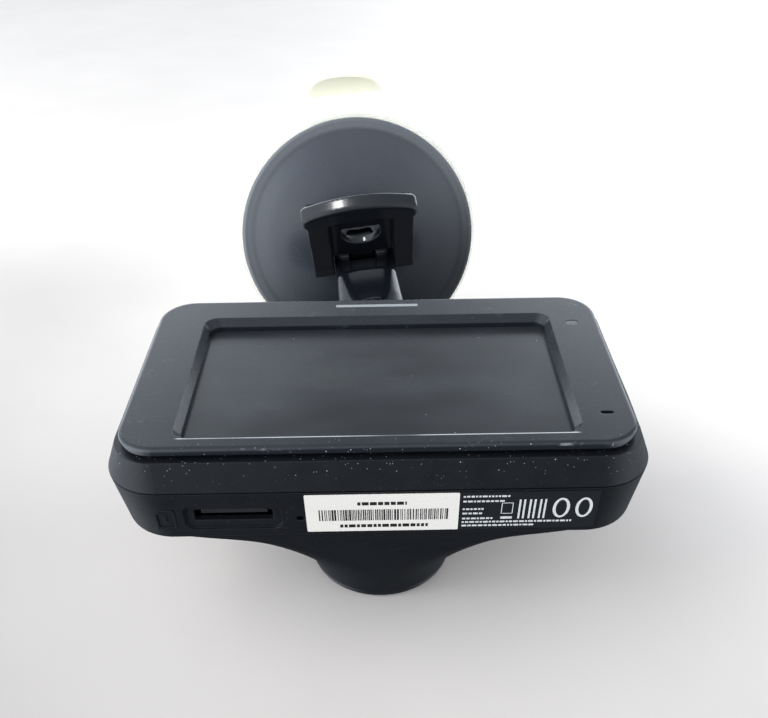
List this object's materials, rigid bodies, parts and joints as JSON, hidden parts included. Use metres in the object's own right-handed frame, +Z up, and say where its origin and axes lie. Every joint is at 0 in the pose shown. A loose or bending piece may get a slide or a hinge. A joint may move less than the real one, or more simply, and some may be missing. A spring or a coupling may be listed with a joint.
{
  "type": "dash camera",
  "caption": "Dash camera with a recessed rear screen and a bell-shaped lens housing, hung by a ball joint and slide-in shoe from a lever-locked suction mount.",
  "frame": {"origin": "centre of the suction cup's sealing face, on the windscreen side", "axes": "+Z up in use, -Y the way the screen faces, +Y the way the lens looks, +X to the right of a driver facing the screen"},
  "size_m": [0.0912, 0.0678, 0.1199],
  "materials": {
    "bezel": "satin moulded, polished step at the edge",
    "shell": "fine spark texture",
    "dark_steel": "blackened",
    "screen": "hard-coated touch film over a dark display",
    "light_metal": "brushed frame",
    "film_white": "diffuser film",
    "flex_amber": "polyimide flex",
    "circuit_board": "solder mask",
    "chip": "moulded resin",
    "tinned_steel": "tinned",
    "foil": "pouch foil",
    "ceramic": "fired ceramic with a silvered patch",
    "button": "fine matt",
    "cone": "pressed film",
    "soft_black": "moulded",
    "light_pipe": "smoked translucent",
    "ring": "polished",
    "lens": "coated optical glass",
    "lens_tube": "anti-glare black",
    "label_white": "coated label stock",
    "label_black": "printed film",
    "mount_gloss": "polished",
    "mount_matte": "fine matt",
    "gel": "tacky clear gel",
    "clear_rubber": "soft translucent",
    "dome": "satin",
    "liner": "natural acetal"
  },
  "bodies": {
    "windscreen_mount": {"mount_base": "dome", "suction_cup": "clear_rubber", "gel_pad": "gel"},
    "stud": {"pull_stud": "mount_matte", "lever_pin": "dark_steel"},
    "lever": {"lever": "mount_gloss"},
    "liner": {"socket_liner": "liner"},
    "nut": {"locking_nut": "mount_matte"},
    "ball": {"ball": "mount_gloss"},
    "shoe": {"mount_shoe": "mount_matte"},
    "camera": {"front_bezel": "bezel", "front_housing": "shell", "rear_housing": "shell", "housing_screws": "dark_steel", "display_glass": "screen", "lcd_module": "light_metal", "lcd_backlight": "film_white", "lcd_ribbon": "flex_amber", "sensor_ribbon": "flex_amber", "main_board": "circuit_board", "processor": "chip", "shield_can": "tinned_steel", "battery": "foil", "gps_antenna": "ceramic", "card_socket": "tinned_steel", "reset_switch": "chip", "usb_port": "tinned_steel", "av_port": "chip", "side_switch": "chip", "event_switch": "chip", "speaker": "tinned_steel", "speaker_cone": "cone", "microphone": "tinned_steel", "mic_boot": "soft_black", "led_light_pipe": "light_pipe", "lens_ring": "ring", "front_lens": "lens", "lens_barrel": "lens_tube", "inner_lenses": "lens", "sensor_board": "circuit_board", "image_sensor": "chip", "lens_mount": "lens_tube", "white_label": "label_white", "rating_label": "label_black"},
    "card": {"memory_card": "chip"},
    "power_key": {"power_button": "button"},
    "event_key": {"event_button": "button"},
    "reset_key": {"reset_plunger": "chip"}
  },
  "joints": [
    {"name": "stud_lift", "type": "slide", "parent": "windscreen_mount", "child": "stud", "axis": [0.0696, -0.2989, -0.9517], "range_m": [0, 0.0026]},
    {"name": "lever_lock", "type": "hinge", "parent": "stud", "child": "lever", "pos_m": [0.00118, -0.00508, -0.01618], "axis": [-0.992, 0.0798, -0.0976], "range_deg": [0, 60]},
    {"name": "liner_spin", "type": "hinge", "parent": "windscreen_mount", "child": "liner", "pos_m": [0.00523, 0.00299, -0.05076], "axis": [-0.0973, 0.0078, 0.9952], "range_deg": [-90, 90]},
    {"name": "ball_tilt", "type": "hinge", "parent": "liner", "child": "ball", "pos_m": [0.00523, 0.00299, -0.05076], "axis": [1, 0, 0], "range_deg": [-20, 20]},
    {"name": "camera_pan", "type": "hinge", "parent": "ball", "child": "shoe", "pos_m": [0.00523, 0.00299, -0.05076], "axis": [0, 0, 1], "range_deg": [-180, 180]},
    {"name": "camera_slide", "type": "slide", "parent": "shoe", "child": "camera", "axis": [0, -1, 0], "range_m": [0, 0.01]},
    {"name": "nut_turn", "type": "hinge", "parent": "windscreen_mount", "child": "nut", "pos_m": [0.00523, 0.00299, -0.05076], "axis": [-0.0973, 0.0078, 0.9952], "range_deg": [0, 90]},
    {"name": "card_slide", "type": "slide", "parent": "camera", "child": "card", "axis": [0, 0, -1], "range_m": [0, 0.012]},
    {"name": "power_press", "type": "slide", "parent": "camera", "child": "power_key", "axis": [-1, 0, 0], "range_m": [0, 0.00025], "stiffness_N_per_m": 40, "springref_m": -0.0005},
    {"name": "event_press", "type": "slide", "parent": "camera", "child": "event_key", "axis": [0, 0, -1], "range_m": [0, 0.0003], "stiffness_N_per_m": 40, "springref_m": -0.0005},
    {"name": "reset_press", "type": "slide", "parent": "camera", "child": "reset_key", "axis": [0, 0, 1], "range_m": [0, 0.00025], "stiffness_N_per_m": 4, "springref_m": -0.0005}
  ],
  "couplings": [
    {"joint": "lever_lock", "follows": "stud_lift", "rad_per_m": 402.77}
  ]
}
